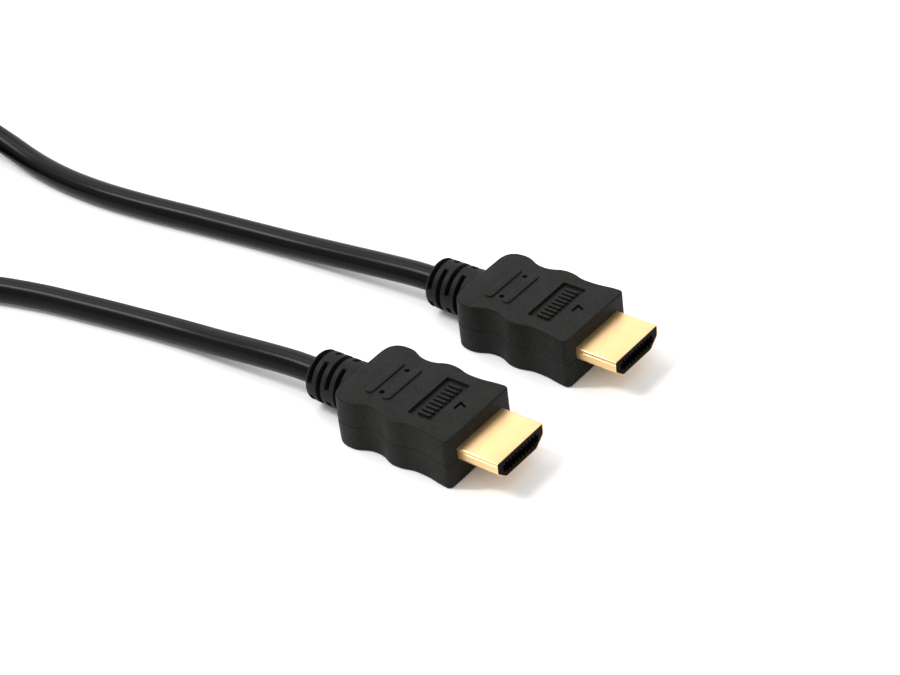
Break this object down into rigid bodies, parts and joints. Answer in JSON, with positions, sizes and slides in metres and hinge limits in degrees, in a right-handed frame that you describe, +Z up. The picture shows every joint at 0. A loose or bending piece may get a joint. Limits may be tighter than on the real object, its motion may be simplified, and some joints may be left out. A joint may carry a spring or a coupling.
{
  "type": "hdmi cable",
  "caption": "Video and audio cable with a moulded waisted plug, a slotted strain relief and a gold-plated tapered shell on each end, its spare length coiled and tied.",
  "frame": {"origin": "under the middle of the two plugs, on the surface that they lie on", "axes": "+X out of the plugs along their shells, +Y from plug a to plug b, +Z up"},
  "size_m": [0.2345, 0.0891, 0.0112],
  "materials": {
    "plug_pvc": "satin, fine-grained moulded PVC",
    "cable_pvc": "smooth satin PVC jacket",
    "shell_gold": "polished thin gold plating on drawn sheet",
    "contact_gold": "polished gold plating",
    "insulator_plastic": "moulded glass-filled plastic",
    "tie_plastic": "soft matt plastic strap"
  },
  "bodies": {
    "root": {"plug_a_overmould": "plug_pvc", "plug_a_shell": "shell_gold", "plug_a_insulator": "insulator_plastic", "plug_a_contact_01": "contact_gold", "plug_a_contact_02": "contact_gold", "plug_a_contact_03": "contact_gold", "plug_a_contact_04": "contact_gold", "plug_a_contact_05": "contact_gold", "plug_a_contact_06": "contact_gold", "plug_a_contact_07": "contact_gold", "plug_a_contact_08": "contact_gold", "plug_a_contact_09": "contact_gold", "plug_a_contact_10": "contact_gold", "plug_a_contact_11": "contact_gold", "plug_a_contact_12": "contact_gold", "plug_a_contact_13": "contact_gold", "plug_a_contact_14": "contact_gold", "plug_a_contact_15": "contact_gold", "plug_a_contact_16": "contact_gold", "plug_a_contact_17": "contact_gold", "plug_a_contact_18": "contact_gold", "plug_a_contact_19": "contact_gold", "plug_b_overmould": "plug_pvc", "plug_b_shell": "shell_gold", "plug_b_insulator": "insulator_plastic", "plug_b_contact_01": "contact_gold", "plug_b_contact_02": "contact_gold", "plug_b_contact_03": "contact_gold", "plug_b_contact_04": "contact_gold", "plug_b_contact_05": "contact_gold", "plug_b_contact_06": "contact_gold", "plug_b_contact_07": "contact_gold", "plug_b_contact_08": "contact_gold", "plug_b_contact_09": "contact_gold", "plug_b_contact_10": "contact_gold", "plug_b_contact_11": "contact_gold", "plug_b_contact_12": "contact_gold", "plug_b_contact_13": "contact_gold", "plug_b_contact_14": "contact_gold", "plug_b_contact_15": "contact_gold", "plug_b_contact_16": "contact_gold", "plug_b_contact_17": "contact_gold", "plug_b_contact_18": "contact_gold", "plug_b_contact_19": "contact_gold", "cable_a": "cable_pvc", "cable_coil": "cable_pvc", "cable_b": "cable_pvc", "coil_tie": "tie_plastic"}
  },
  "joints": []
}
